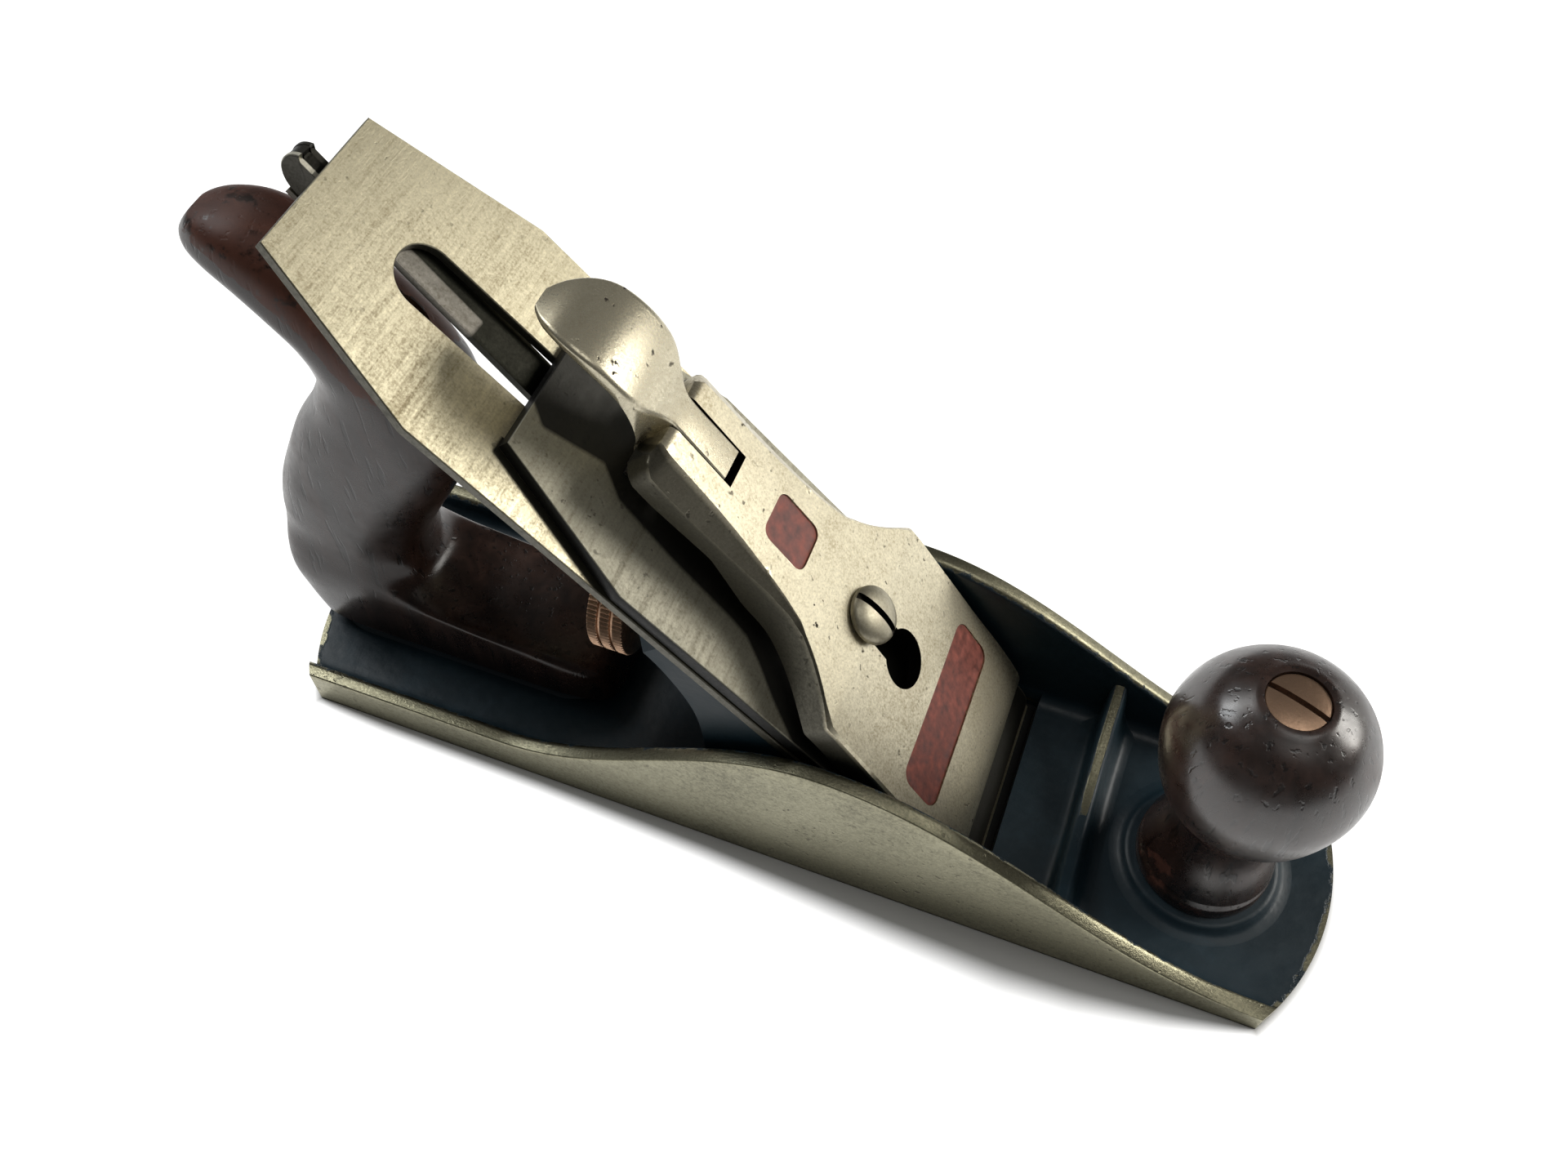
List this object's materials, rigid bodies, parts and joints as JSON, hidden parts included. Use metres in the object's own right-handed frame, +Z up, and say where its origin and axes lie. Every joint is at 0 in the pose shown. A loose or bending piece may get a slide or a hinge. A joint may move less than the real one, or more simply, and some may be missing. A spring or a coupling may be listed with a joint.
{
  "type": "smoothing plane",
  "caption": "Metal bench plane with a dark blue body, hardwood knob and tote, adjustable frog, two-piece cap iron and a cam lever cap.",
  "frame": {"origin": "centre of the sole's flat face", "axes": "+X along the sole to the toe, +Y to the left side of the plane, +Z up from the sole"},
  "size_m": [0.2378, 0.0604, 0.1334],
  "materials": {
    "ground_iron": "ground, satin",
    "painted_iron": "gloss, dark blue",
    "dark_steel": "satin, darkened",
    "plate_steel": "fine brushed",
    "nickel": "worn nickel, satin",
    "brass": "tarnished",
    "hardwood": "dark gloss varnish"
  },
  "bodies": {
    "plane_body": {"body_casting": "ground_iron", "frog_screws": "dark_steel", "frog_screw_washers": "dark_steel", "knob": "hardwood", "knob_bolt": "dark_steel", "knob_nut": "brass", "tote": "hardwood", "tote_bolt": "dark_steel", "tote_nut": "brass"},
    "frog_body": {"frog": "painted_iron", "frog_adjusting_clip": "dark_steel", "clip_screw": "dark_steel", "lever_cap_screw": "nickel", "yoke_pin": "dark_steel", "depth_wheel_stud": "dark_steel", "lateral_rivet": "dark_steel"},
    "adjusting_screw_body": {"frog_adjusting_screw": "dark_steel"},
    "iron_body": {"cutting_iron": "plate_steel", "cap_iron": "plate_steel", "cap_iron_deflector": "plate_steel", "cap_iron_screw": "dark_steel"},
    "yoke_body": {"yoke": "dark_steel"},
    "wheel_body": {"depth_wheel": "brass"},
    "lateral_body": {"lateral_lever": "dark_steel"},
    "roller_body": {"lateral_roller": "dark_steel"},
    "lever_cap_body": {"lever_cap": "nickel", "cam_pin": "dark_steel", "lever_cap_spring": "dark_steel", "spring_rivet": "dark_steel"},
    "cam_body": {"cam_lever": "nickel"}
  },
  "joints": [
    {"name": "frog_slide", "type": "slide", "parent": "plane_body", "child": "frog_body", "axis": [1, 0, 0], "range_m": [-0.0008, 0.0008]},
    {"name": "frog_screw_turn", "type": "hinge", "parent": "frog_body", "child": "adjusting_screw_body", "pos_m": [-0.015, 0, 0.0142], "axis": [1, 0, 0], "range_deg": [-290, 290]},
    {"name": "iron_slide", "type": "slide", "parent": "frog_body", "child": "iron_body", "axis": [-0.7071, 0, 0.7071], "range_m": [-0.001, 0.0014]},
    {"name": "yoke_tilt", "type": "hinge", "parent": "frog_body", "child": "yoke_body", "pos_m": [-0.02431, 0, 0.05374], "axis": [0, -1, 0], "range_deg": [-4.6, 6.3]},
    {"name": "wheel_turn", "type": "hinge", "parent": "frog_body", "child": "wheel_body", "pos_m": [-0.0365, 0, 0.04], "axis": [-1, 0, 0], "range_deg": [-300, 420]},
    {"name": "lateral_swing", "type": "hinge", "parent": "frog_body", "child": "lateral_body", "pos_m": [-0.02848, 0, 0.07007], "axis": [0.7071, 0, 0.7071], "range_deg": [-4.4, 11.6]},
    {"name": "roller_turn", "type": "hinge", "parent": "lateral_body", "child": "roller_body", "pos_m": [-0.02319, -0.00047, 0.06478], "axis": [0.7071, 0, 0.7071], "continuous": true},
    {"name": "lever_cap_slide", "type": "slide", "parent": "frog_body", "child": "lever_cap_body", "axis": [-0.7071, 0, 0.7071], "range_m": [0, 0.0134]},
    {"name": "cam_swing", "type": "hinge", "parent": "lever_cap_body", "child": "cam_body", "pos_m": [-0.0229, 0, 0.09192], "axis": [0, 1, 0], "range_deg": [0, 105]}
  ],
  "couplings": [
    {"joint": "yoke_tilt", "follows": "iron_slide", "rad_per_m": 73.529},
    {"joint": "wheel_turn", "follows": "iron_slide", "rad_per_m": 4997},
    {"joint": "frog_screw_turn", "follows": "frog_slide", "rad_per_m": 6283}
  ]
}
